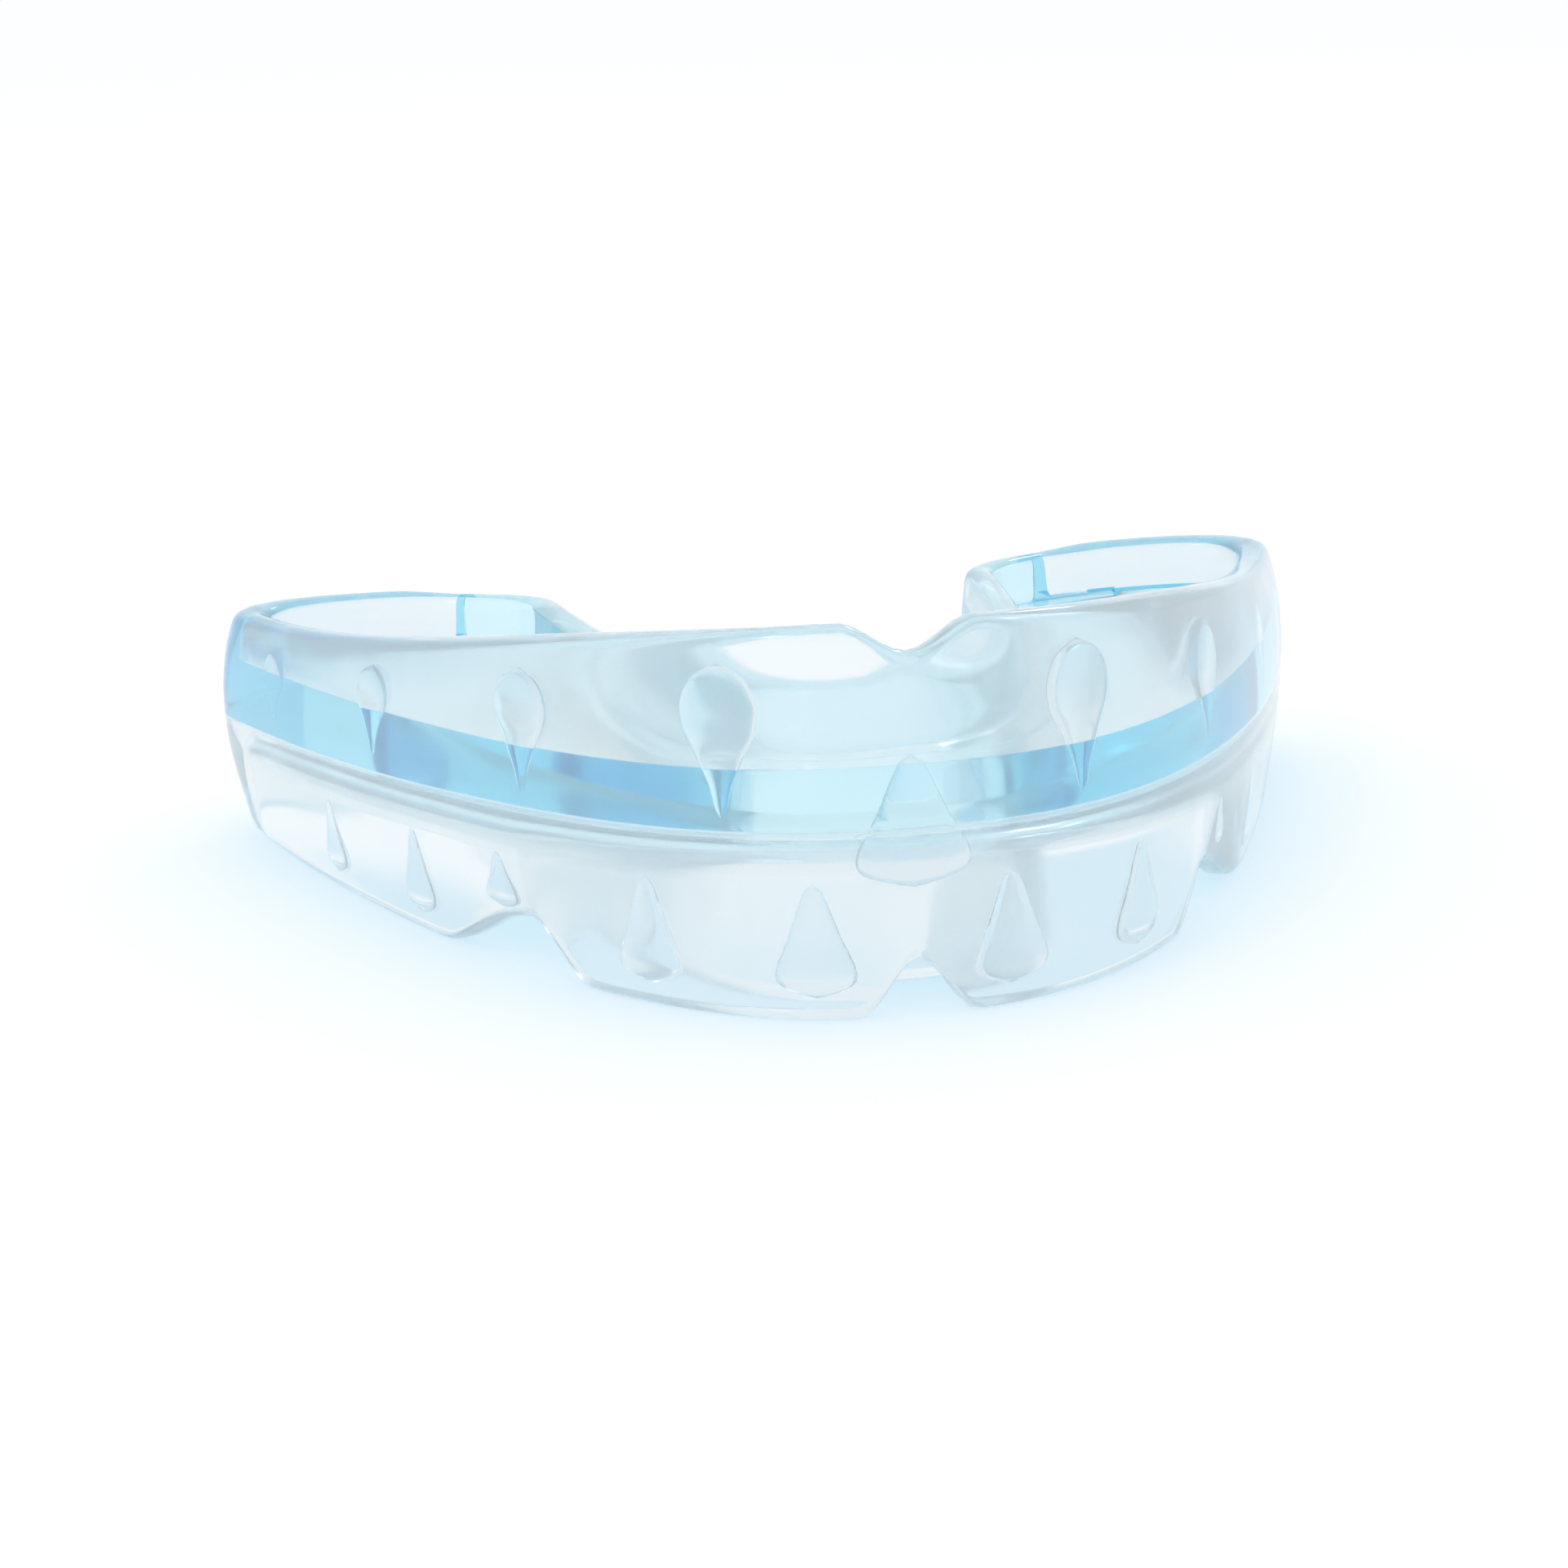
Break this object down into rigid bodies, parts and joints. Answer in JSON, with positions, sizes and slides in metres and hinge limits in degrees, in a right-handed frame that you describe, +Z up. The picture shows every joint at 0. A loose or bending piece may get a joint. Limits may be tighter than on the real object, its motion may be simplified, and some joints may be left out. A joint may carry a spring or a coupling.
{
  "type": "mouthguard",
  "caption": "U-shaped double mouthguard of see-through gel, with a clear upper wall, a blue bite core, a clear lower tray and drop-shaped fins in the outer walls.",
  "frame": {"origin": "centre of the bounding box at its base, on the surface that the lower rim stands on", "axes": "+Z up towards the upper teeth, -Y towards the lips, +X towards the wearer's left cheek as the guard faces the viewer along +Y"},
  "size_m": [0.061, 0.0524, 0.0188],
  "materials": {
    "clear_gel": "clear gloss gel with a faint blue cast",
    "blue_gel": "see-through blue gloss gel, darker where it is thick",
    "fin_gel": "clear gloss gel, pale blue"
  },
  "bodies": {
    "root": {"upper_outer_wall": "clear_gel", "bite_core": "blue_gel", "lower_tray": "clear_gel", "upper_fin_left_1": "fin_gel", "upper_fin_left_2": "fin_gel", "upper_fin_left_3": "fin_gel", "upper_fin_left_4": "fin_gel", "upper_fin_right_1": "fin_gel", "upper_fin_right_2": "fin_gel", "upper_fin_right_3": "fin_gel", "upper_fin_right_4": "fin_gel", "lower_fin_left_1": "fin_gel", "lower_fin_left_2": "fin_gel", "lower_fin_left_3": "fin_gel", "lower_fin_left_4": "fin_gel", "lower_fin_left_5": "fin_gel", "lower_fin_right_1": "fin_gel", "lower_fin_right_2": "fin_gel", "lower_fin_right_3": "fin_gel", "lower_fin_right_4": "fin_gel", "lower_fin_right_5": "fin_gel", "midline_key": "fin_gel"}
  },
  "joints": []
}
